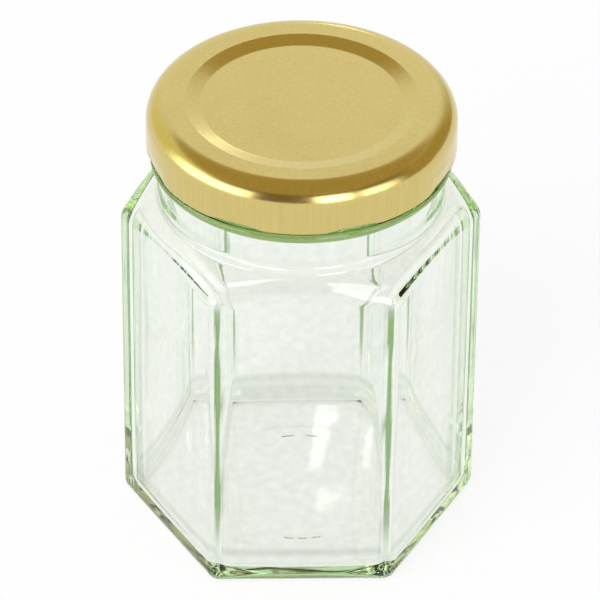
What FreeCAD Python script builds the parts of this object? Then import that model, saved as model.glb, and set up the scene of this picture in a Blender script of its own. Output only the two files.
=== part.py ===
import FreeCAD, Part
import os
import re

import Sketcher
from FreeCAD import Placement, Rotation, Vector

# Hexagonal preserving jar with a twist-off lid. Millimetres, +Z up. The origin is the middle of
# the base, on the plane that the jar stands on. Two flat sides face -Y and +Y, and two upright
# edges lie on the X axis.

SIZES = {
    # glass body
    "across_flats": 67.0,
    "margin": 2.0,  # cutting outlines run this far past the hexagon's corners
    "body_height": 81.3,  # where the shoulder meets the neck
    "edge_radius": 3.2,  # upright edges, outside
    "heel_radius": 3.0,
    "shoulder_angle": 32.0,  # degrees above the horizontal
    "shoulder_radius": 4.6,  # round between the shoulder and the sides
    "side_wall": 2.9,
    "shoulder_wall": 2.6,
    "base_wall": 2.4,
    "inner_edge_radius": 5.0,
    "inner_heel_radius": 3.8,
    "inner_shoulder_radius": 4.0,
    "recess_radius": 24.0,  # hollow under the base
    "recess_depth": 0.4,
    "recess_slope": 5.0,  # width of the slope that leads into it
    # glass neck and finish, under the lid
    "neck_height": 22.7,  # shoulder to the sealing rim
    "finish_radius": 29.85,
    "rim_wall": 3.25,
    "rim_radius": 1.65,
    "rim_chamfer": 0.8,
    "neck_step": 0.75,  # neck below the bead, wider than the finish by this
    "neck_fillet": 1.2,
    "neck_root": 5.0,  # how far the neck and the bore are sunk into what they join
    "bead_step": 2.15,
    "bead_height": 2.0,
    "bead_radius": 0.9,
    "bead_gap": 0.7,  # bead to the lid's lower edge
    "bore_fillet": 2.5,
    "thread_step": 1.45,  # glass lugs stand out of the finish by this
    "thread_height": 1.8,
    "thread_slope": 0.5,
    "thread_width": 26.0,  # degrees that each glass lug spans
    # lid
    "metal": 0.24,
    "lid_height": 11.3,
    "skirt_gap": 1.12,  # glass lugs to the skirt's inside
    "seat_margin": 0.06,  # the lid's flat land runs past the rim's by this
    "land_width": 3.76,  # flat ring between the round edge and the bevel
    "bevel_width": 3.3,
    "panel_depth": 0.75,
    "curl_width": 1.5,
    "curl_height": 1.4,
    "curl_radius": 0.5,
    "lug_count": 8.0,
    "lug_width": 16.0,  # degrees that each lid lug spans
    "lug_reach": 2.0,  # from the skirt's outside
    "lug_raise": 0.5,  # how far the edge is pressed up at a lug
    "lug_press": 0.4,  # how far it is pressed in there
    "lug_gap": 0.3,  # lid lug to the glass lug above it
    "first_lug": 18.5,  # degrees from +X
}

# Sizes that follow from the ones above, as formulas.
DERIVED = {
    "jar_height": "body_height + neck_height",
    "bore_radius": "finish_radius - rim_wall",
    "neck_radius": "finish_radius + neck_step",
    "reach": "across_flats / sqrt(3) + margin",
    "cavity_flats": "across_flats - 2 * side_wall",
    "cavity_height": "body_height + (neck_radius - bore_radius) * tan(shoulder_angle)"
    " - shoulder_wall / cos(shoulder_angle)",
    "lid_top": "jar_height + metal",
    "lid_bottom": "lid_top - lid_height",
    "lid_radius": "finish_radius + thread_step + skirt_gap + metal",
    "lid_round": "lid_radius - finish_radius + rim_radius - seat_margin",
    "bevel_radius": "lid_radius - lid_round - land_width",
    "panel_radius": "bevel_radius - bevel_width",
    "lug_top": "lid_bottom + lug_raise + curl_height",
    "thread_bottom": "lug_top + lug_gap",
    "bead_top": "lid_bottom - bead_gap",
    "bead_bottom": "bead_top - bead_height",
    "bead_reach": "finish_radius + bead_step",
    "thread_reach": "finish_radius + thread_step",
}

HEXAGON = [(2, 0), (1, 1), (-1, 1), (-2, 0), (-1, -1), (1, -1)]  # in half sides and half flats
CLOSE = 0.001  # mm; places nearer than this are the same

doc = FreeCAD.newDocument("PreservingJar")


def bound(formula):
    """The formula with every name read from the sheet, and derived sizes written out."""

    def read(match):
        name = match.group()
        if name in SIZES:
            return "Sizes." + name
        if name in DERIVED:
            return "(" + bound(DERIVED[name]) + ")"
        return name

    return re.sub("[a-z_]+", read, str(formula))


def number(formula):
    """The formula's value now."""
    return float(sheet.evalExpression(bound(formula)))


def make_sheet():
    """The spreadsheet that holds every driving size."""
    made = doc.addObject("Spreadsheet::Sheet", "Sizes")
    for row, (name, size) in enumerate(SIZES.items(), start=1):
        made.set(f"A{row}", name)
        made.set(f"B{row}", str(size))
        made.setAlias(f"B{row}", name)
    doc.recompute()
    return made


def origin_part(body, role):
    return next(f for f in body.Origin.OriginFeatures if f.Role == role)


def sketch_on(body, name, role, height="0", turn="0"):
    """An empty sketch on one of the body's origin planes, lifted or turned about Z."""
    sketch = body.newObject("Sketcher::SketchObject", name)
    sketch.AttachmentSupport = [(origin_part(body, role), "")]
    sketch.MapMode = "FlatFace"
    if height != "0":
        sketch.setExpression("AttachmentOffset.Base.z", bound(height))
    if turn != "0":
        sketch.AttachmentOffset = Placement(Vector(), Rotation(Vector(0, 1, 0), number(turn)))
        sketch.setExpression("AttachmentOffset.Rotation.Angle", bound(turn))
    return sketch


def draw_outline(sketch, corners):
    """Draws a closed outline. Each corner is a pair of formulas, and both drive the sketch."""
    points = [Vector(number(across), number(up), 0) for across, up in corners]
    count = len(points)
    for i in range(count):
        sketch.addGeometry(Part.LineSegment(points[i], points[(i + 1) % count]))
    for i in range(count):
        sketch.addConstraint(Sketcher.Constraint("Coincident", i, 2, (i + 1) % count, 1))
    for i, corner in enumerate(corners):
        for kind, formula in zip(("DistanceX", "DistanceY"), corner):
            if formula == "0":
                axis = -2 if kind == "DistanceX" else -1
                sketch.addConstraint(Sketcher.Constraint("PointOnObject", i, 1, axis))
                continue
            made = sketch.addConstraint(
                Sketcher.Constraint(kind, -1, 1, i, 1, number(formula))
            )
            sketch.renameConstraint(made, f"{kind}{i}")
            sketch.setExpression(f"Constraints.{kind}{i}", bound(formula))


def draw_hexagon(sketch, flats):
    """Draws a regular hexagon with two corners on the X axis."""
    corners = []
    for across, up in HEXAGON:
        height = f"{up} * {flats} / 2" if up else "0"
        corners.append((f"{across} * {flats} / sqrt(3) / 2", height))
    draw_outline(sketch, corners)


def feature(body, kind, name, sketch, **settings):
    """Adds a sketch-based feature. Settings given as text are formulas."""
    made = body.newObject("PartDesign::" + kind, name)
    made.Profile = sketch
    for key, value in settings.items():
        if isinstance(value, str):
            made.setExpression(key, bound(value))
        else:
            setattr(made, key, value)
    sketch.Visibility = False
    doc.recompute()
    return made


def turned(body, kind, name, corners, angle="360", turn="0"):
    """A Revolution or Groove of an outline about Z, centred on the outline's plane."""
    sketch = sketch_on(body, name + "Sketch", "XZ_Plane", turn=turn)
    draw_outline(sketch, corners)
    return feature(
        body, kind, name, sketch,
        ReferenceAxis=(sketch, ["V_Axis"]), Midplane=True, Angle=angle,
    )


def rounded(body, name, radius, chosen):
    """Rounds the edges of the body's tip that the test picks."""
    base = body.Tip
    edges = enumerate(base.Shape.Edges, start=1)
    names = [f"Edge{i}" for i, edge in edges if chosen(edge)]
    fillet = body.newObject("PartDesign::Fillet", name)
    fillet.Base = (base, names)
    fillet.setExpression("Radius", bound(radius))
    doc.recompute()
    return fillet


def around(body, name, made, count):
    """Repeats a feature around Z."""
    pattern = body.newObject("PartDesign::PolarPattern", name)
    pattern.Originals = [made]
    pattern.Axis = (origin_part(body, "Z_Axis"), [""])
    pattern.Angle = 360
    pattern.setExpression("Occurrences", bound(count))
    body.Tip = pattern
    doc.recompute()
    return pattern


def is_upright(edge):
    box = edge.BoundBox
    return isinstance(edge.Curve, Part.Line) and box.XLength + box.YLength < CLOSE


def hexagonal_block(name, flats, bottom, top, cone_radius, radii):
    """A hexagonal body whose shoulder is a cone that meets its top at cone_radius. The radii
    round its upright edges, its bottom edges and the edge between the shoulder and the sides."""
    upright, heel, shoulder = radii
    body = doc.addObject("PartDesign::Body", name)
    base = sketch_on(body, name + "Hexagon", "XY_Plane", height=bottom)
    draw_hexagon(base, flats)
    feature(body, "Pad", name + "Prism", base, Length=f"{top} - ({bottom})")
    low = number(bottom)
    high = number(top)
    rounded(body, name + "Edges", upright, is_upright)
    fall = f"{top} - (reach - {cone_radius}) * tan(shoulder_angle)"
    turned(
        body, "Groove", name + "Shoulder",
        [(cone_radius, top), ("reach", top), ("reach", fall)],
    )

    def is_heel(edge):
        return edge.BoundBox.ZMax < low + CLOSE

    def is_shoulder(edge):
        box = edge.BoundBox
        return box.ZMin > (low + high) / 2 and box.ZMax < high - CLOSE and not is_upright(edge)

    rounded(body, name + "Heel", heel, is_heel)
    rounded(body, name + "ShoulderRound", shoulder, is_shoulder)
    return body


def ring_at(radius, height):
    """A test for the circular edges of this radius at this height, both formulas."""
    wanted_radius = number(radius)
    wanted_height = number(height)

    def test(edge):
        curve = edge.Curve
        return (
            isinstance(curve, Part.Circle)
            and abs(curve.Radius - wanted_radius) < CLOSE
            and abs(curve.Center.z - wanted_height) < CLOSE
            and abs(curve.Center.x) + abs(curve.Center.y) < CLOSE
        )

    return test


def make_jar():
    """The glass: an outer body less a cavity, with an open neck."""
    outer = hexagonal_block(
        "Outer", "across_flats", "0", "body_height", "neck_radius",
        ("edge_radius", "heel_radius", "shoulder_radius"),
    )
    turned(
        outer, "Revolution", "Neck",
        [
            ("0", "body_height - neck_root"),
            ("neck_radius", "body_height - neck_root"),
            ("neck_radius", "bead_bottom"),
            ("bead_reach", "bead_bottom"),
            ("bead_reach", "bead_top"),
            ("finish_radius", "bead_top"),
            ("finish_radius", "jar_height"),
            ("0", "jar_height"),
        ],
    )
    rounded(outer, "NeckRoot", "neck_fillet", ring_at("neck_radius", "body_height"))
    rounded(outer, "BeadLow", "bead_radius", ring_at("bead_reach", "bead_bottom"))
    rounded(outer, "BeadHigh", "bead_radius", ring_at("bead_reach", "bead_top"))
    rounded(outer, "RimRound", "rim_radius", ring_at("finish_radius", "jar_height"))
    thread = turned(
        outer, "Revolution", "Thread",
        [
            ("finish_radius - thread_slope", "thread_bottom"),
            ("thread_reach", "thread_bottom"),
            ("thread_reach", "thread_bottom + thread_height - thread_slope"),
            ("finish_radius - thread_slope", "thread_bottom + thread_height"),
        ],
        angle="thread_width", turn="first_lug",
    )
    around(outer, "Threads", thread, "lug_count")
    turned(
        outer, "Groove", "BaseRecess",
        [
            ("0", "0"),
            ("recess_radius", "0"),
            ("recess_radius - recess_slope", "recess_depth"),
            ("0", "recess_depth"),
        ],
    )

    cavity = hexagonal_block(
        "Cavity", "cavity_flats", "base_wall", "cavity_height", "bore_radius",
        ("inner_edge_radius", "inner_heel_radius", "inner_shoulder_radius"),
    )
    turned(
        cavity, "Revolution", "Bore",
        [
            ("0", "cavity_height - neck_root"),
            ("bore_radius", "cavity_height - neck_root"),
            ("bore_radius", "jar_height - rim_chamfer"),
            ("bore_radius + rim_chamfer", "jar_height"),
            ("bore_radius + rim_chamfer", "jar_height + neck_root"),
            ("0", "jar_height + neck_root"),
        ],
    )
    rounded(cavity, "BoreRoot", "bore_fillet", ring_at("bore_radius", "cavity_height"))

    jar = doc.addObject("Part::Cut", "Jar")
    jar.Base = outer
    jar.Tool = cavity
    jar.Label = "jar"
    return jar


def make_lid():
    """The lid: a pressed shell with a curled edge, pressed inwards at each lug."""
    lid = doc.addObject("PartDesign::Body", "LidBody")
    lid.Label = "lid"
    turned(
        lid, "Revolution", "Shell",
        [
            ("0", "lid_top - panel_depth"),
            ("panel_radius", "lid_top - panel_depth"),
            ("bevel_radius", "lid_top"),
            ("lid_radius", "lid_top"),
            ("lid_radius", "lid_bottom"),
            ("lid_radius - curl_width", "lid_bottom"),
            ("lid_radius - curl_width", "lid_bottom + curl_height"),
            ("lid_radius - metal", "lid_bottom + curl_height"),
            ("lid_radius - metal", "lid_top - metal"),
            ("bevel_radius", "lid_top - metal"),
            ("panel_radius", "lid_top - panel_depth - metal"),
            ("0", "lid_top - panel_depth - metal"),
        ],
    )
    rounded(lid, "TopRound", "lid_round", ring_at("lid_radius", "lid_top"))
    inside_top = ring_at("lid_radius - metal", "lid_top - metal")
    rounded(lid, "TopRoundInside", "lid_round - metal", inside_top)
    rounded(lid, "CurlOut", "curl_radius", ring_at("lid_radius", "lid_bottom"))
    rounded(lid, "CurlIn", "curl_radius", ring_at("lid_radius - curl_width", "lid_bottom"))
    lug = turned(
        lid, "Revolution", "Lug",
        [
            ("lid_radius - lug_reach", "lid_bottom + lug_raise"),
            ("lid_radius - metal / 2", "lid_bottom + lug_raise"),
            ("lid_radius - metal / 2", "lug_top"),
            ("lid_radius - lug_reach", "lug_top"),
        ],
        angle="lug_width",
    )
    around(lid, "Lugs", lug, "lug_count")
    dent = turned(
        lid, "Groove", "Dent",
        [
            ("lid_radius - lug_reach", "lid_bottom - lug_raise"),
            ("lid_radius + lug_press", "lid_bottom - lug_raise"),
            ("lid_radius + lug_press", "lug_top"),
            ("lid_radius", "lug_top"),
            ("lid_radius - lug_press", "lid_bottom + lug_raise"),
            ("lid_radius - lug_reach", "lid_bottom + lug_raise"),
        ],
        angle="lug_width",
    )
    around(lid, "Dents", dent, "lug_count")
    lid.Placement = Placement(Vector(), Rotation(Vector(0, 0, 1), number("first_lug")))
    lid.setExpression("Placement.Rotation.Angle", bound("first_lug"))
    return lid


def check(parts):
    """Stops if any object failed, or a sub-part isn't one valid solid."""
    for item in doc.Objects:
        if {"Invalid", "Error"} & set(item.State):
            raise RuntimeError(f"{item.Name}: {item.getStatusString()}")
    for item in parts:
        shape = item.Shape
        if shape.isNull() or not shape.isValid() or len(shape.Solids) != 1:
            raise RuntimeError(f"{item.Label} isn't one valid solid")


sheet = make_sheet()
sub_parts = [make_jar(), make_lid()]
doc.recompute()
check(sub_parts)
os.makedirs("parts", exist_ok=True)
for sub_part in sub_parts:
    sub_part.Shape.exportStep(f"parts/{sub_part.Label}.step")
    box = sub_part.Shape.BoundBox
    size = f"{box.XLength:.2f} x {box.YLength:.2f} x {box.ZLength:.2f} mm"
    print(f"{sub_part.Label}: {size}, {sub_part.Shape.Volume / 1000:.2f} cm3")
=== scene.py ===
import math

import bmesh
import bpy
import numpy as np
from mathutils import Matrix, Vector, noise


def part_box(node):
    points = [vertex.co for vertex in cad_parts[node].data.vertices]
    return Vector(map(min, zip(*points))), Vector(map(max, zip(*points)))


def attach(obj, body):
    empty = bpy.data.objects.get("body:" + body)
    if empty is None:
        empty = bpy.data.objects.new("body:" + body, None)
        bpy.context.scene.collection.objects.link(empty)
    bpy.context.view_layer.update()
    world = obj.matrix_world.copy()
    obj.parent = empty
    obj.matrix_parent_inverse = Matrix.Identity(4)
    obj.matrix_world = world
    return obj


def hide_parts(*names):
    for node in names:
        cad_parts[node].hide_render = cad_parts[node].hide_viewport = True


# Hexagonal preserving jar with a twist-off lid: its looks. Metres, in the CAD frame. The glass
# and the pressed lid are each one closed mesh that stands for its CAD node.

MM = 0.001

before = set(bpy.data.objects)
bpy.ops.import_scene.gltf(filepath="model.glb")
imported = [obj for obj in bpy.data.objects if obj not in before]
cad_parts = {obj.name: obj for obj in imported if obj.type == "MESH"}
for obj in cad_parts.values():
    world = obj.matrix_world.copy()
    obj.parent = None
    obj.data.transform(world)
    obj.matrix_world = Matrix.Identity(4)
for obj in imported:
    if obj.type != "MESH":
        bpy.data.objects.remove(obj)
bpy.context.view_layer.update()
jar_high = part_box("jar")[1]
lid_low, lid_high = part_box("lid")

# Glass body
HALF_FLATS = jar_high.y
EDGE_RADIUS = 3.2 * MM
HEEL_RADIUS = 3.0 * MM
SHOULDER_ANGLE = math.radians(32)
SHOULDER_RADIUS = 4.6 * MM
SIDE_WALL = 2.9 * MM
SHOULDER_WALL = 2.6 * MM
BASE_WALL = 2.4 * MM
INNER_EDGE_RADIUS = 5.0 * MM
INNER_SIDE_RADIUS = 225 * MM
INNER_HEEL_HEIGHT = 3.0 * MM
INNER_HEEL_WIDTH = 3.2 * MM
INNER_SHOULDER_RADIUS = 4.0 * MM
FLOOR_CROWN = 0.5 * MM
RECESS_RADIUS = 24.0 * MM  # the shallow hollow under the base
RECESS_DEPTH = 0.4 * MM
RECESS_SLOPE = 5.0 * MM

# Glass neck and finish
JAR_TOP = jar_high.z - 0.03 * MM  # just clear of the lid
BODY_HEIGHT = jar_high.z - 22.7 * MM
FINISH_RADIUS = lid_high.x - 2.81 * MM
NECK_RADIUS = FINISH_RADIUS + 0.75 * MM
NECK_FILLET = 1.2 * MM
NECK_BEAD_FILLET = 0.4 * MM
BORE_RADIUS = FINISH_RADIUS - 3.25 * MM
BORE_FILLET = 2.5 * MM
RIM_RADIUS = 1.65 * MM
RIM_INNER_RADIUS = 0.8 * MM
BEAD_RADIUS = FINISH_RADIUS + 2.15 * MM
BEAD_TOP = lid_low.z - 0.7 * MM
BEAD_HEIGHT = 2.0 * MM
BEAD_ROUND = 0.9 * MM
BEAD_FILLET = 0.5 * MM
THREAD_STEP = 1.45 * MM  # how far a glass lug stands out
THREAD_BOTTOM = lid_low.z + 2.2 * MM
THREAD_TOP = THREAD_BOTTOM + 1.8 * MM
THREAD_WIDTH = math.radians(26)
THREAD_RISE = 0.5 * MM  # the slope under a lug
THREAD_FALL = 0.8 * MM  # the slope over it
THREAD_START = 0.4 * MM  # how far below a lug the close rows begin
THREAD_ROWS = 9

# Lid
METAL = 0.24 * MM
LID_RADIUS = lid_high.x
LID_ROUND = 4.4 * MM
BEVEL_RADIUS = LID_RADIUS - LID_ROUND - 3.76 * MM
PANEL_RADIUS = BEVEL_RADIUS - 3.3 * MM
PANEL_ROWS = (PANEL_RADIUS / 3, PANEL_RADIUS * 2 / 3)
PANEL_DEPTH = 0.75 * MM
BEVEL_ROUND = 0.6 * MM
PANEL_ROUND = 2.5 * MM
CURL_RADIUS = 0.75 * MM
CURL_TURN = math.radians(-250)
CURL_STEPS = 22
LUG_COUNT = 8  # on the glass and on the lid
LUG_WIDTH = math.radians(16)
FIRST_LUG = math.radians(18.5)
LUG_PRESS = 0.35 * MM
LUG_RAISE = 0.35 * MM  # how far the rolled edge rises at a lug
LUG_ZONE = 4.2 * MM  # the height over which the skirt is pressed in
LUG_EDGE = 0.5  # a lug's slopes, as a share of its width

# How finely the meshes are cut
CORNERS = 6
CORNER_STEPS = 12
FLAT_STEPS = 26
ARC_STEPS = 9
LID_STEPS = 288
LUG_ROWS = 8
FLAT = 1000.0  # the radius of a side that is flat
HOLD = 0.2 * MM  # an extra row this near a round keeps the flat beside it flat
CLOSE = 0.01 * MM

# Rows of points between two rings, as shares of the way from one to the other
FOOT_ROWS = (0.3, 0.6, 0.85, 0.97)
SIDE_ROWS = (0.003, *np.linspace(0.04, 0.96, 13), 0.997)
INNER_SIDE_ROWS = (*SIDE_ROWS[:-2], *np.linspace(0.93, 0.99, 11), SIDE_ROWS[-1])
SHOULDER_ROWS = (0.3, 0.65)
FLOOR_ROWS = (0.03, 0.15, 0.35, 0.55, 0.75, 0.93)
BASE_CIRCLES = (2 * MM, 8 * MM)  # radii
BASE_STEPS = 37
BORE_HEIGHTS = (18 * MM, 13 * MM, 8 * MM, 4 * MM)  # above the foot of the bore
BORE_TURN = 5  # rows over which the points turn from the outside's angles to the inside's
FLOOR_MIDDLE = 1 * MM


# ---------------------------------------------------------------- camera

VIEW_AZIMUTH = math.radians(-1.56)
VIEW_ELEVATION = math.radians(37.3)
VIEW_ROLL = math.radians(0.58)
VIEW_DISTANCE = 1.085
VIEW_TARGET = Vector((0, 0, 50.76 * MM))
VIEW_LIFT = 0.75 * MM
SENSOR = 36.0
LENS = 302.5
NEAREST = 0.05
FARTHEST = 20


def add_camera():
    az, el = VIEW_AZIMUTH, VIEW_ELEVATION
    back = Vector((math.sin(az) * math.cos(el), -math.cos(az) * math.cos(el), math.sin(el)))
    right = (-back).cross(Vector((0, 0, 1))).normalized()
    up = right.cross(-back)
    across = math.cos(VIEW_ROLL) * right + math.sin(VIEW_ROLL) * up
    upward = -math.sin(VIEW_ROLL) * right + math.cos(VIEW_ROLL) * up
    camera = bpy.data.objects.new("camera", bpy.data.cameras.new("camera"))
    bpy.context.scene.collection.objects.link(camera)
    camera.data.sensor_width = SENSOR
    camera.data.lens = LENS
    camera.data.clip_start = NEAREST
    camera.data.clip_end = FARTHEST
    place = VIEW_TARGET + VIEW_LIFT * upward + VIEW_DISTANCE * back
    turn = Matrix((across, upward, back)).transposed().to_4x4()
    camera.matrix_world = Matrix.Translation(place) @ turn
    bpy.context.scene.camera = camera


# ---------------------------------------------------------------- mesh helpers


def add_object(name, mesh):
    made = bpy.data.objects.new(name, mesh)
    bpy.context.scene.collection.objects.link(made)
    return made


def add_shell(name, rings, first, last, painted_shade=None):
    """A closed smooth mesh from rings with the same number of points, closed at each end by a
    middle point. The last argument gives each point its share of painted shade, a value that the
    material can read."""
    count = len(rings[0])
    points = np.vstack(rings + [[first], [last]])
    centre, end = len(points) - 2, len(points) - 1
    faces = []
    for j in range(count):
        k = (j + 1) % count
        for low in range(0, (len(rings) - 1) * count, count):
            faces.append((low + j, low + k, low + count + k, low + count + j))
        top = (len(rings) - 1) * count
        faces.append((centre, k, j))
        faces.append((end, top + j, top + k))
    mesh = bpy.data.meshes.new(name)
    mesh.from_pydata(points.tolist(), [], faces)
    net = bmesh.new()
    net.from_mesh(mesh)
    if net.calc_volume(signed=True) < 0:
        bmesh.ops.reverse_faces(net, faces=net.faces)
    net.to_mesh(mesh)
    net.free()
    mesh.shade_smooth()
    if painted_shade:
        mesh.attributes.new("painted_shade", "FLOAT", "POINT").data.foreach_set("value", painted_shade(points))
    return add_object(name, mesh)


def circle(radius, height, angles):
    return np.column_stack(
        (radius * np.cos(angles), radius * np.sin(angles), np.full(len(angles), height))
    )


def angles_of(ring):
    return np.unwrap(np.arctan2(ring[:, 1], ring[:, 0]))


def between(low_ring, high_ring, shares):
    return [low_ring + (high_ring - low_ring) * share for share in shares]


def smooth_step(value):
    """0 up to 0, 1 from 1 on, and a smooth rise between them."""
    t = np.clip(value, 0, 1)
    return t * t * (3 - 2 * t)


def outline(corners):
    """Points along a path. Each corner is (radius, height, round), and a round becomes an arc
    with a held point on each side of it where there is room."""
    made = []
    for i, (across, up, radius) in enumerate(corners):
        here = Vector((across, up))
        if not radius:
            made.append(here)
            continue
        back = Vector(corners[i - 1][:2]) - here
        ahead = Vector(corners[i + 1][:2]) - here
        toward_back, toward_ahead = back.normalized(), ahead.normalized()
        half = back.angle(ahead) / 2
        reach = radius / math.tan(half)
        middle = (toward_back + toward_ahead).normalized()
        centre = here + middle * (radius / math.sin(half))
        start = here + reach * toward_back - centre
        sweep = start.angle_signed(here + reach * toward_ahead - centre)
        if back.length > reach + corners[i - 1][2] + 2 * HOLD:
            made.append(here + (reach + HOLD) * toward_back)
        for step in range(ARC_STEPS + 1):
            turn = Matrix.Rotation(-sweep * step / ARC_STEPS, 2)
            made.append(centre + turn @ start)
        if ahead.length > reach + corners[i + 1][2] + 2 * HOLD:
            made.append(here + (reach + HOLD) * toward_ahead)
    return made


class Hexagon:
    """A hexagon with round upright edges, two of them on the X axis, and with sides that are
    arcs of a large radius. Every ring taken from it has the same points in the same order, each
    moved in along its own direction."""

    def __init__(self, half_flats, corner_radius, side_radius):
        side = math.pi / CORNERS
        behind = side_radius - half_flats
        inner_reach = behind * math.cos(side)
        square = (side_radius - corner_radius) ** 2 - behind**2
        reach = square / (inner_reach + math.sqrt(inner_reach**2 + square))
        spread = math.atan2(reach * math.sin(side), reach * math.cos(side) + behind)
        hold = HOLD / side_radius
        turns = np.linspace(-spread, spread, FLAT_STEPS + 1)[1:-1]
        turns = np.concatenate(([hold - spread], turns, [spread - hold]))
        round_turn = side - spread
        places, directions = [], []
        for corner in range(CORNERS):
            middle = corner * 2 * side
            centre = reach * np.array((math.cos(middle), math.sin(middle)))
            for turn in middle + np.linspace(-round_turn, round_turn, CORNER_STEPS + 1):
                direction = np.array((math.cos(turn), math.sin(turn)))
                places.append(centre + corner_radius * direction)
                directions.append(direction)
            facing = middle + side
            back = -behind * np.array((math.cos(facing), math.sin(facing)))
            for turn in facing + turns:
                direction = np.array((math.cos(turn), math.sin(turn)))
                places.append(back + side_radius * direction)
                directions.append(direction)
        self.places = np.array(places)
        self.directions = np.array(directions)

    def ring(self, inset, height):
        count = len(self.places)
        flat = self.places - np.broadcast_to(inset, count)[:, None] * self.directions
        return np.column_stack((flat, np.broadcast_to(height, count)))

    def heel(self, width, height, floor):
        """Rings that turn from the floor into the upright sides, lowest first."""
        turns = np.linspace(0, math.pi / 2, ARC_STEPS + 1)
        return [
            self.ring(width * (1 - math.sin(turn)), floor + height * (1 - math.cos(turn)))
            for turn in turns
        ]

    def shoulder(self, cone_radius, cone_height, radius):
        """Rings that turn from the upright sides into the shoulder's cone, lowest first."""
        spokes = self.places / np.linalg.norm(self.places, axis=1)[:, None]
        facing = (spokes * self.directions).sum(axis=1)
        slope = np.arctan(math.tan(SHOULDER_ANGLE) * facing)
        top = self.ring(radius * (1 - np.sin(slope)), 0)
        outward = np.linalg.norm(top, axis=1) - cone_radius
        rise = cone_height - outward * math.tan(SHOULDER_ANGLE) - radius * np.cos(slope)
        rings = []
        for share in np.linspace(0, 1, ARC_STEPS + 1):
            turn = share * (math.pi / 2 - slope)
            rings.append(self.ring(radius * (1 - np.cos(turn)), rise + radius * np.sin(turn)))
        return rings


def near_lug(angles, width):
    """1 within half the width of a lug's middle, falling smoothly to 0 a little outside it."""
    pitch = math.tau / LUG_COUNT
    off = np.abs((angles - FIRST_LUG + pitch / 2) % pitch - pitch / 2)
    edge = width * LUG_EDGE
    return smooth_step((width / 2 + edge / 2 - off) / edge)


# ---------------------------------------------------------------- glass jar

JAR_REACH = jar_high.x  # to the upright edges
# The green on the upright edges, the bead, the foot and the low ring is painted shade, standing
# in for light that the glass bends and leads along inside it.
EDGE_DEPTH = 0.8 * MM
EDGE_BAND = 0.68 * MM  # half the width of the painted green shade band on an upright edge
EDGE_SHIFT = 1.08 * MM  # how far four of the bands lie onto the faces that point along Y
EDGE_FADE = 0.2 * MM
EDGE_SHARE = 0.5
EDGE_LOW = 4 * MM
EDGE_LOW_FADE = 16 * MM
EDGE_TOP = BODY_HEIGHT - 3.8 * MM
EDGE_TOP_FADE = 4.5 * MM
EDGE_WAVES = [  # (share of the band, radians in a metre of height, radians from edge to edge)
    (0.2, 230, 2.1),
    (0.08, 610, 3.7),
]
# painted green shade on the bead
BEAD_SHADE_START = 0.2 * MM
BEAD_SHADE_FADE = 0.4 * MM
PAINTED_RING_HEIGHT = 7.6 * MM  # painted shade: a soft green ring low on the inside, where the wall grows thicker
PAINTED_RING_REACH = 1.9 * MM
PAINTED_RING_SHARE = 0.2
# painted green shade round the foot
FOOT_DEPTH = 2.4 * MM
FOOT_HEIGHT = 4.6 * MM
FOOT_FADE = 1.2 * MM
FOOT_SHARE = 0.14
FLOW_AMOUNT = 0.13 * MM  # how far the inner sides wander in and out
FLOW_SCALE = 42
FLOW_OFFSET = Vector((3.0, 0, 0))
FLOW_LOW = 10 * MM
FLOW_HIGH = 70 * MM
FLOW_FADE = 15 * MM
MARK_RADIUS = 18.0 * MM
MARK_HEIGHT = 0.3 * MM
MARK_WIDTH = 0.7 * MM
MARK_SLOPE = 0.6 * MM
MARK_END = math.radians(1.6)  # the slope at each end of a dash
MARK_START = MARK_RADIUS - 2 * MM
MARKS = [  # (angle of the middle, half its length as an angle), in degrees
    (78, 5),
    (98, 5),
    (262, 3),
    (272, 3),
    (282, 3),
]


def cone_point(radius, height, at):
    """Where the shoulder's cone, which passes through radius and height, is at another radius."""
    return (at, height - (at - radius) * math.tan(SHOULDER_ANGLE), 0)


def base_marks(ring):
    """How far the plain raised dashes under the base stand out, at each point of a ring."""
    angles = angles_of(ring)
    off = np.abs(np.linalg.norm(ring[:, :2], axis=1) - MARK_RADIUS)
    across = smooth_step((MARK_WIDTH - off) / MARK_SLOPE)
    rise = np.zeros(len(ring))
    for middle, half in MARKS:
        turn = (angles - math.radians(middle) + math.pi) % math.tau - math.pi
        rise += smooth_step((math.radians(half) - np.abs(turn)) / MARK_END)
    return MARK_HEIGHT * across * np.clip(rise, 0, 1)


def uneven_ring(ring, directions):
    """A ring moved in and out a little, as glass flows in its mould."""
    height = ring[:, 2].mean()
    fade = min(height - FLOW_LOW, FLOW_HIGH - height) / FLOW_FADE
    amount = FLOW_AMOUNT * smooth_step(fade)
    shift = [noise.noise(Vector(point * FLOW_SCALE) + FLOW_OFFSET) for point in ring]
    moved = ring.copy()
    moved[:, :2] += amount * np.array(shift)[:, None] * directions
    return moved


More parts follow.
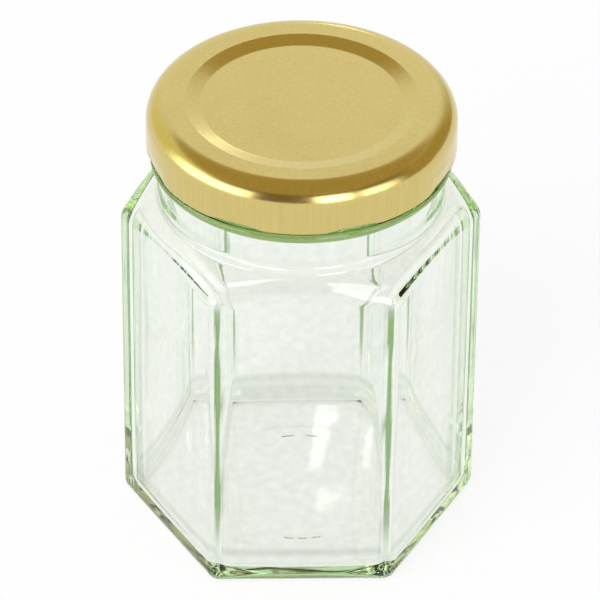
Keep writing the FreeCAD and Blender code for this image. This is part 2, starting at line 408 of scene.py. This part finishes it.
def painted_green_shade(points):
    """How much painted green shade the glass shows: half in an uneven band on the upright
    edges, all on the bead, and a little round the foot and in the ring low on the inside."""
    x, y, z = points.T
    radius = np.hypot(x, y)
    corner = math.tau / CORNERS
    off = (np.arctan2(y, x) + corner / 2) % corner - corner / 2
    lean = np.arctan2(np.abs(x), np.abs(y))
    across = np.abs(radius * np.sin(corner / 2 - lean) - EDGE_SHIFT)
    across = np.where(lean < corner, across, np.abs(y))
    turn = np.round(np.arctan2(y, x) / corner) % CORNERS
    uneven = sum(share * np.sin(pace * z + step * turn) for share, pace, step in EDGE_WAVES)
    edge = smooth_step((EDGE_BAND * (1 + uneven) - across) / EDGE_FADE)
    edge *= radius * np.cos(off) > JAR_REACH - EDGE_DEPTH
    edge *= EDGE_SHARE * smooth_step((z - EDGE_LOW) / EDGE_LOW_FADE)
    edge *= smooth_step((EDGE_TOP - z) / EDGE_TOP_FADE)
    apothem = radius * np.cos(corner / 2 - np.abs(off))
    foot = smooth_step((FOOT_HEIGHT - z) / FOOT_FADE) * FOOT_SHARE
    foot *= apothem > HALF_FLATS - FOOT_DEPTH
    bead = smooth_step((radius - NECK_RADIUS - BEAD_SHADE_START) / BEAD_SHADE_FADE)
    bead *= (z > BEAD_TOP - BEAD_HEIGHT - CLOSE) * (z < BEAD_TOP + CLOSE)
    wave = PAINTED_RING_SHARE * smooth_step(1 - np.abs(z - PAINTED_RING_HEIGHT) / PAINTED_RING_REACH)
    wave *= apothem < HALF_FLATS - SIDE_WALL / 2
    return np.maximum.reduce((edge, foot, bead, wave))


def make_jar():
    outer = Hexagon(HALF_FLATS, EDGE_RADIUS, FLAT)
    inner = Hexagon(HALF_FLATS - SIDE_WALL, INNER_EDGE_RADIUS, INNER_SIDE_RADIUS)

    # outside, from the middle of the base up to the neck
    shoulder = outer.shoulder(NECK_RADIUS, BODY_HEIGHT, SHOULDER_RADIUS)
    angles = angles_of(shoulder[-1])
    rings = []
    for radius in [*BASE_CIRCLES, *np.linspace(MARK_START, RECESS_RADIUS, BASE_STEPS)]:
        depth = RECESS_DEPTH * smooth_step((RECESS_RADIUS - radius) / RECESS_SLOPE)
        ring = circle(radius, depth, angles)
        ring[:, 2] -= base_marks(ring)
        rings.append(ring)
    heel = outer.heel(HEEL_RADIUS, HEEL_RADIUS, 0)
    rings += between(rings[-1], heel[0], FOOT_ROWS)
    rings += heel
    rings += between(heel[-1], shoulder[0], SIDE_ROWS)
    rings += shoulder
    foot = cone_point(NECK_RADIUS, BODY_HEIGHT, NECK_RADIUS + NECK_FILLET / 2)
    rings += between(shoulder[-1], circle(foot[0], foot[1], angles), SHOULDER_ROWS)

    # neck, bead, finish and rim, then down the bore
    cavity_height = (
        BODY_HEIGHT
        + (NECK_RADIUS - BORE_RADIUS) * math.tan(SHOULDER_ANGLE)
        - SHOULDER_WALL / math.cos(SHOULDER_ANGLE)
    )
    thread_rows = np.linspace(THREAD_BOTTOM - THREAD_START, THREAD_TOP, THREAD_ROWS)
    outside = outline(
        [
            foot,
            (NECK_RADIUS, BODY_HEIGHT, NECK_FILLET),
            (NECK_RADIUS, BEAD_TOP - BEAD_HEIGHT, NECK_BEAD_FILLET),
            (BEAD_RADIUS, BEAD_TOP - BEAD_HEIGHT, BEAD_ROUND),
            (BEAD_RADIUS, BEAD_TOP, BEAD_ROUND),
            (FINISH_RADIUS, BEAD_TOP, BEAD_FILLET),
            *[(FINISH_RADIUS, height, 0) for height in thread_rows],
            (FINISH_RADIUS, JAR_TOP, RIM_RADIUS),
            (BORE_RADIUS + RIM_INNER_RADIUS + HOLD, JAR_TOP, 0),
        ]
    )
    for point in outside:
        ring = circle(point.x, point.y, angles)
        thread = THREAD_STEP * smooth_step((point.y - THREAD_BOTTOM) / THREAD_RISE)
        thread *= smooth_step((THREAD_TOP - point.y) / THREAD_FALL)
        ring[:, :2] *= (1 + near_lug(angles, THREAD_WIDTH) * thread / point.x)[:, None]
        rings.append(ring)
    inner_shoulder = inner.shoulder(BORE_RADIUS, cavity_height, INNER_SHOULDER_RADIUS)
    inner_angles = angles_of(inner_shoulder[-1])
    root = cone_point(BORE_RADIUS, cavity_height, BORE_RADIUS + BORE_FILLET / 2)
    inside = outline(
        [
            (BORE_RADIUS + RIM_INNER_RADIUS + HOLD, JAR_TOP, 0),
            (BORE_RADIUS, JAR_TOP, RIM_INNER_RADIUS),
            *[(BORE_RADIUS, cavity_height + rise, 0) for rise in BORE_HEIGHTS],
            (BORE_RADIUS, cavity_height, BORE_FILLET),
            root,
        ]
    )[1:]
    for i, point in enumerate(inside):
        share = smooth_step((i - ARC_STEPS) / BORE_TURN)
        rings.append(circle(point.x, point.y, angles + (inner_angles - angles) * share))

    # inside, from the neck down to the middle of the floor
    rings += between(rings[-1], inner_shoulder[-1], SHOULDER_ROWS)
    rings += inner_shoulder[::-1]
    inner_heel = inner.heel(INNER_HEEL_WIDTH, INNER_HEEL_HEIGHT, BASE_WALL)
    for ring in between(inner_shoulder[0], inner_heel[-1], INNER_SIDE_ROWS):
        rings.append(uneven_ring(ring, inner.directions))
    rings += inner_heel[::-1]
    floor_edge = inner_heel[0]
    widest = np.linalg.norm(floor_edge[:, :2], axis=1).min()
    for ring in between(floor_edge, circle(FLOOR_MIDDLE, BASE_WALL, inner_angles), FLOOR_ROWS):
        reach = np.linalg.norm(ring[:, :2], axis=1) / widest
        ring[:, 2] += FLOOR_CROWN * smooth_step(1 - reach)
        rings.append(ring)
    first = (0, 0, RECESS_DEPTH)
    last = (0, 0, BASE_WALL + FLOOR_CROWN)
    return add_shell("jar_glass", rings, first, last, painted_green_shade)


# ---------------------------------------------------------------- lid


def curl_points():
    """The rolled lower edge: the roll's outside from the skirt round, then its inside back."""
    centre = Vector((LID_RADIUS - CURL_RADIUS, lid_low.z + CURL_RADIUS))
    turns = np.linspace(0, CURL_TURN, CURL_STEPS)
    out = [centre + CURL_RADIUS * Vector((math.cos(a), math.sin(a))) for a in turns]
    hollow = CURL_RADIUS - METAL
    back = [centre + hollow * Vector((math.cos(a), math.sin(a))) for a in turns[::-1]]
    return out + back


def make_lid():
    top, bottom = lid_high.z, lid_low.z
    outside = outline(
        [
            (PANEL_ROWS[0], top - PANEL_DEPTH, 0),
            (PANEL_ROWS[1], top - PANEL_DEPTH, 0),
            (PANEL_RADIUS, top - PANEL_DEPTH, PANEL_ROUND),
            (BEVEL_RADIUS, top, BEVEL_ROUND),
            (LID_RADIUS, top, LID_ROUND),
            (LID_RADIUS, bottom + LUG_ZONE + HOLD, 0),
        ]
    )
    press_rows = np.linspace(LUG_ZONE, CURL_RADIUS, LUG_ROWS)
    skirt = [Vector((LID_RADIUS, bottom + rise)) for rise in press_rows[:-1]]
    inner_skirt = [Vector((point.x - METAL, point.y)) for point in reversed(skirt)]
    underside = outline(
        [
            (LID_RADIUS - METAL, bottom + LUG_ZONE + HOLD, 0),
            (LID_RADIUS - METAL, top - METAL, LID_ROUND - METAL),
            (BEVEL_RADIUS, top - METAL, BEVEL_ROUND),
            (PANEL_RADIUS, top - PANEL_DEPTH - METAL, PANEL_ROUND),
            (PANEL_ROWS[1], top - PANEL_DEPTH - METAL, 0),
            (PANEL_ROWS[0], top - PANEL_DEPTH - METAL, 0),
        ]
    )
    angles = np.linspace(0, math.tau, LID_STEPS, endpoint=False)
    lug = near_lug(angles, LUG_WIDTH)
    rings = []
    for point in outside + skirt + curl_points() + inner_skirt + underside:
        drop = smooth_step((bottom + LUG_ZONE - point.y) / (LUG_ZONE - CURL_RADIUS))
        ring = circle(1, point.y, angles)
        ring[:, :2] *= (point.x - LUG_PRESS * drop * lug)[:, None]
        ring[:, 2] += LUG_RAISE * drop * lug
        rings.append(ring)
    first = (0, 0, top - PANEL_DEPTH)
    last = (0, 0, top - PANEL_DEPTH - METAL)
    return add_shell("lid_metal", rings, first, last)


# ---------------------------------------------------------------- materials


class Nodes:
    """A material's node tree, with short calls for the few nodes used here."""

    def __init__(self, name):
        self.material = bpy.data.materials.new(name)
        self.material.use_nodes = True
        self.tree = self.material.node_tree
        self.tree.nodes.clear()
        self.output = self.add("ShaderNodeOutputMaterial")

    def add(self, kind, **settings):
        """Adds a node. A setting is a plain value or another node's output socket."""
        node = self.tree.nodes.new(kind)
        for key, value in settings.items():
            name = key.replace("_", " ")
            if hasattr(node, key) and name not in node.inputs:
                setattr(node, key, value)
            elif isinstance(value, bpy.types.NodeSocket):
                self.tree.links.new(value, node.inputs[name])
            else:
                node.inputs[name].default_value = value
        return node

    def link(self, source, target):
        self.tree.links.new(source, target)

    def spots(self, stretch, scale, detail):
        """Noise in object space, from 0 to 1, with its own stretch along X, Y and Z."""
        place = self.add("ShaderNodeTexCoord").outputs["Object"]
        mapping = self.add("ShaderNodeMapping", Vector=place, Scale=stretch)
        made = self.add(
            "ShaderNodeTexNoise", Vector=mapping.outputs["Vector"], Scale=scale, Detail=detail
        )
        return made.outputs["Fac"]

    def spread(self, value, source, target):
        """A value moved from one range into another, and kept inside it."""
        made = self.add("ShaderNodeMapRange", Value=value)
        made.inputs["From Min"].default_value = source[0]
        made.inputs["From Max"].default_value = source[1]
        made.inputs["To Min"].default_value = target[0]
        made.inputs["To Max"].default_value = target[1]
        return made.outputs["Result"]

    def mix(self, share, first, second):
        made = self.add("ShaderNodeMix", data_type="RGBA")
        self.link(share, made.inputs["Factor"])
        made.inputs["A"].default_value = (*first, 1)
        made.inputs["B"].default_value = (*second, 1)
        return next(socket for socket in made.outputs if socket.type == "RGBA")


# colours of the painted green shade on the edges and on the bead
PAINTED_EDGE_SHADE = (0.088, 0.215, 0.036)
PAINTED_BEAD_SHADE = (0.12, 0.22, 0.03)
CLEAR_TINT = (1, 1, 1)
CLOUDY_TINT = (0.92, 0.93, 0.915)
GLASS_IOR = 1.52
GLASS_GREEN = (0.892, 0.965, 0.833, 1)
GLASS_DENSITY = 62  # how fast the green builds up, per metre
GOLD_DARK = (0.63, 0.51, 0.182)
GOLD_LIGHT = (0.67, 0.55, 0.205)
NOISE = (0.3, 0.7)  # the range in which most of a noise's values lie
ROUGH_NOISE = (0.35, 0.7)
GLASS_ROUGHNESS = (0.0, 0.025)
LID_ROUGHNESS = (0.17, 0.23)


def glass_material():
    """Clear soda-lime glass. The green comes from how far light goes inside it, and from
    green shade painted on the edges, the bead, the foot and a ring low on the inside."""
    nodes = Nodes("glass")
    flow = nodes.spots(stretch=(1, 1, 0.35), scale=40, detail=1.0)
    fine = nodes.spots(stretch=(1, 1, 1), scale=420, detail=2.0)
    wave = nodes.add("ShaderNodeBump", Height=flow, Strength=0.16, Distance=1.5 * MM)
    shader = nodes.add("ShaderNodeBsdfPrincipled", IOR=GLASS_IOR)
    shader.inputs["Transmission Weight"].default_value = 1.0
    clear = nodes.mix(nodes.spread(fine, NOISE, (0, 1)), CLOUDY_TINT, CLEAR_TINT)
    # painted green shade, read from the point attribute and multiplied into the colour
    edge = nodes.add("ShaderNodeAttribute", attribute_name="painted_shade")
    ramp = nodes.add("ShaderNodeValToRGB", Fac=edge.outputs["Fac"])
    ramp.color_ramp.elements[0].color = (*CLEAR_TINT, 1)
    ramp.color_ramp.elements[1].color = (*PAINTED_BEAD_SHADE, 1)
    ramp.color_ramp.elements.new(EDGE_SHARE).color = (*PAINTED_EDGE_SHADE, 1)
    painted_shade = nodes.add("ShaderNodeMix", data_type="RGBA", blend_type="MULTIPLY")
    painted_shade.inputs["Factor"].default_value = 1.0
    colours = [socket for socket in painted_shade.inputs if socket.type == "RGBA"]
    nodes.link(clear, colours[0])
    nodes.link(ramp.outputs["Color"], colours[1])
    shown = next(socket for socket in painted_shade.outputs if socket.type == "RGBA")
    nodes.link(shown, shader.inputs["Base Color"])
    nodes.link(nodes.spread(fine, ROUGH_NOISE, GLASS_ROUGHNESS), shader.inputs["Roughness"])
    nodes.link(wave.outputs["Normal"], shader.inputs["Normal"])
    body = nodes.add("ShaderNodeVolumeAbsorption", Color=GLASS_GREEN, Density=GLASS_DENSITY)
    nodes.link(shader.outputs["BSDF"], nodes.output.inputs["Surface"])
    nodes.link(body.outputs["Volume"], nodes.output.inputs["Volume"])
    return nodes.material


def lid_material():
    """Satin gold lacquer on tinplate. The grain is stretched down the skirt."""
    nodes = Nodes("gold_lid")
    grain = nodes.spots(stretch=(1, 1, 0.06), scale=1500, detail=2.0)
    broad = nodes.spots(stretch=(1, 1, 0.2), scale=90, detail=3.0)
    shade = nodes.mix(nodes.spread(grain, NOISE, (0, 1)), GOLD_DARK, GOLD_LIGHT)
    bump = nodes.add("ShaderNodeBump", Height=grain, Strength=0.06, Distance=0.05 * MM)
    shader = nodes.add("ShaderNodeBsdfPrincipled", Metallic=1.0)
    nodes.link(shade, shader.inputs["Base Color"])
    nodes.link(nodes.spread(broad, NOISE, LID_ROUGHNESS), shader.inputs["Roughness"])
    nodes.link(bump.outputs["Normal"], shader.inputs["Normal"])
    nodes.link(shader.outputs["BSDF"], nodes.output.inputs["Surface"])
    return nodes.material


# ---------------------------------------------------------------- studio

WHITE = (1, 1, 1, 1)
FLOOR_REACH = 6.0
FLOOR_WHITE = 1.02
FLOOR_LIT = 0.16  # how much of the floor's white comes from the lamps, and so shows a shadow
FLOOR_PLAIN = (0.8, 0.8, 0.8, 1)  # the floor's own colour, for the light it sends up
FLOOR_DROP = 0.15 * MM  # keeps air between the glass and the floor
BACKGROUND = 1.0
FILL = 0.55  # how brightly the surroundings light what isn't glossy
DOME_COLUMNS = 25
DOME_ROWS = 13
WALL_REACH = 3.0
ROOM_REACH = 2.6
SOFTBOX_REACH = 2.0
WINDOW_REACH = 0.36
ROOM = (1.0, 0.76, 0.3)
ROOM_GLOW = 0.5
DARK_ROOM = (1.0, 0.7, 0.35)
DARK_ROOM_GLOW = 0.22
WARM_ROOM = (0.9, 0.86, 0.52)
WARM_ROOM_GLOW = 1.0
SOFTBOX = (1, 1, 1)
SOFTBOX_GLOW = 5.0
SOFTBOX_DIM_GLOW = 3.6
KEY_SIZE = 1.2
KEY_POWER = 22
KEY_PLACE = (-0.9, -1.2, 1.6)
KEY_AIM = Vector((0, 0, 0.05))
GLASS_BOUNCES = 64
GLOSSY_BOUNCES = 16


def background_rays(nodes):
    """1 for a ray that shows the background: from the camera, or by gloss or glass."""
    path = nodes.add("ShaderNodeLightPath")
    camera, gloss = path.outputs["Is Camera Ray"], path.outputs["Is Glossy Ray"]
    glass = path.outputs["Is Transmission Ray"]
    either = nodes.add("ShaderNodeMath", operation="MAXIMUM")
    nodes.link(camera, either.inputs[0])
    nodes.link(gloss, either.inputs[1])
    any_of = nodes.add("ShaderNodeMath", operation="MAXIMUM")
    nodes.link(either.outputs[0], any_of.inputs[0])
    nodes.link(glass, any_of.inputs[1])
    return any_of.outputs[0]


def floor_material():
    nodes = Nodes("studio_floor")
    lit = nodes.add("ShaderNodeBsdfDiffuse", Color=(FLOOR_LIT, FLOOR_LIT, FLOOR_LIT, 1))
    glow = nodes.add("ShaderNodeEmission", Color=WHITE, Strength=FLOOR_WHITE - FLOOR_LIT)
    both = nodes.add("ShaderNodeAddShader")
    nodes.link(lit.outputs[0], both.inputs[0])
    nodes.link(glow.outputs[0], both.inputs[1])
    plain = nodes.add("ShaderNodeBsdfDiffuse", Color=FLOOR_PLAIN)
    choice = nodes.add("ShaderNodeMixShader")
    nodes.link(background_rays(nodes), choice.inputs[0])
    nodes.link(plain.outputs[0], choice.inputs[1])
    nodes.link(both.outputs[0], choice.inputs[2])
    nodes.link(choice.outputs[0], nodes.output.inputs["Surface"])
    return nodes.material


def glow_material(name, colour, strength):
    nodes = Nodes(name)
    glow = nodes.add("ShaderNodeEmission", Color=(*colour, 1), Strength=strength)
    nodes.link(glow.outputs[0], nodes.output.inputs["Surface"])
    return nodes.material


def soft_glow_material(name, colour, strength):
    """A glow that fades out where the patch's share falls to 0."""
    nodes = Nodes(name)
    glow = nodes.add("ShaderNodeEmission", Color=(*colour, 1), Strength=strength)
    clear = nodes.add("ShaderNodeBsdfTransparent")
    share = nodes.add("ShaderNodeAttribute", attribute_name="share")
    choice = nodes.add("ShaderNodeMixShader")
    nodes.link(share.outputs["Fac"], choice.inputs[0])
    nodes.link(clear.outputs[0], choice.inputs[1])
    nodes.link(glow.outputs[0], choice.inputs[2])
    nodes.link(choice.outputs[0], nodes.output.inputs["Surface"])
    return nodes.material


def dome_patch(name, azimuths, elevations, reach, material, fades=None):
    """Part of a dome round the object, seen only in gloss and through glass. Azimuth 0 is the
    camera's side, and positive is to its right. The fades are how far in from the left, right
    and top edges it softens, in degrees."""
    points, faces = [], []
    across = np.radians(np.linspace(*azimuths, DOME_COLUMNS))
    up = np.radians(np.linspace(*elevations, DOME_ROWS))
    for el in up:
        for az in across:
            out = (math.sin(az) * math.cos(el), -math.cos(az) * math.cos(el), math.sin(el))
            points.append(tuple(reach * c for c in out))
    for i in range(len(up) - 1):
        for j in range(len(across) - 1):
            k = i * len(across) + j
            faces.append((k, k + 1, k + 1 + len(across), k + len(across)))
    mesh = bpy.data.meshes.new(name)
    mesh.from_pydata(points, [], faces)
    if fades:
        az, el = (np.degrees(grid).ravel() for grid in np.meshgrid(across, up))
        share = smooth_step((az - azimuths[0]) / fades[0])
        share *= smooth_step((azimuths[1] - az) / fades[1])
        share *= smooth_step((elevations[1] - el) / fades[2])
        mesh.attributes.new("share", "FLOAT", "POINT").data.foreach_set("value", share)
    patch = add_object(name, mesh)
    patch.data.materials.append(material)
    patch.visible_camera = False
    patch.visible_diffuse = False
    patch.visible_shadow = False


def add_studio():
    mesh = bpy.data.meshes.new("floor")
    reach = FLOOR_REACH
    corners = [(-reach, -reach), (reach, -reach), (reach, reach), (-reach, reach)]
    mesh.from_pydata([(x, y, -FLOOR_DROP) for x, y in corners], [], [(0, 1, 2, 3)])
    floor = add_object("floor", mesh)
    floor.data.materials.append(floor_material())

    world = bpy.data.worlds.new("studio")
    bpy.context.scene.world = world
    world.use_nodes = True
    tree = world.node_tree
    tree.nodes.clear()
    out = tree.nodes.new("ShaderNodeOutputWorld")
    path = tree.nodes.new("ShaderNodeLightPath")
    white = tree.nodes.new("ShaderNodeBackground")
    white.inputs["Color"].default_value = WHITE
    white.inputs["Strength"].default_value = BACKGROUND
    fill = tree.nodes.new("ShaderNodeBackground")
    fill.inputs["Color"].default_value = WHITE
    fill.inputs["Strength"].default_value = FILL
    choice = tree.nodes.new("ShaderNodeMixShader")
    tree.links.new(path.outputs["Is Diffuse Ray"], choice.inputs[0])
    tree.links.new(white.outputs[0], choice.inputs[1])
    tree.links.new(fill.outputs[0], choice.inputs[2])
    tree.links.new(choice.outputs[0], out.inputs["Surface"])

    room = glow_material("room", ROOM, ROOM_GLOW)
    dark = glow_material("dark_room", DARK_ROOM, DARK_ROOM_GLOW)
    dome_patch("ceiling", (-180, 180), (44, 90), WALL_REACH, room)
    dome_patch("front_wall", (-100, 100), (0.3, 44), WALL_REACH, dark)
    side = soft_glow_material("soft_room", ROOM, ROOM_GLOW)
    dome_patch("room_right", (65, 170), (3, 45), ROOM_REACH, side, (25, 40, 0.1))
    warm = soft_glow_material("warm_room", WARM_ROOM, WARM_ROOM_GLOW)
    dome_patch("room_left", (-170, -60), (3, 45), ROOM_REACH, warm, (40, 25, 0.1))
    bright = soft_glow_material("softbox", SOFTBOX, SOFTBOX_GLOW)
    dim = soft_glow_material("softbox_dim", SOFTBOX, SOFTBOX_DIM_GLOW)
    dome_patch("softbox_left", (-110, -33), (1, 40), SOFTBOX_REACH, dim, (30, 8, 16))
    dome_patch("softbox_right", (8, 34), (2, 38), SOFTBOX_REACH, bright, (3, 3, 8))
    dome_patch("window", (172.5, 176.5), (34, 38), WINDOW_REACH, bright, (1, 1, 1))
    dome_patch("softbox_far_right", (39, 77), (2, 36), SOFTBOX_REACH, dim, (4, 28, 16))

    lamp = bpy.data.lights.new("key", "AREA")
    lamp.shape = "SQUARE"
    lamp.size = KEY_SIZE
    lamp.energy = KEY_POWER
    key = add_object("key", lamp)
    key.location = KEY_PLACE
    aim = KEY_AIM - key.location
    key.rotation_mode = "QUATERNION"
    key.rotation_quaternion = aim.to_track_quat("-Z", "Y")
    key.visible_glossy = False


scene = bpy.context.scene
scene.view_settings.view_transform = "Standard"
scene.cycles.max_bounces = GLASS_BOUNCES
scene.cycles.transmission_bounces = GLASS_BOUNCES
scene.cycles.glossy_bounces = GLOSSY_BOUNCES

add_camera()
add_studio()

jar = make_jar()
jar.data.materials.append(glass_material())
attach(jar, "root")
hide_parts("jar")

lid = make_lid()
lid.data.materials.append(lid_material())
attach(lid, "root")
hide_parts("lid")
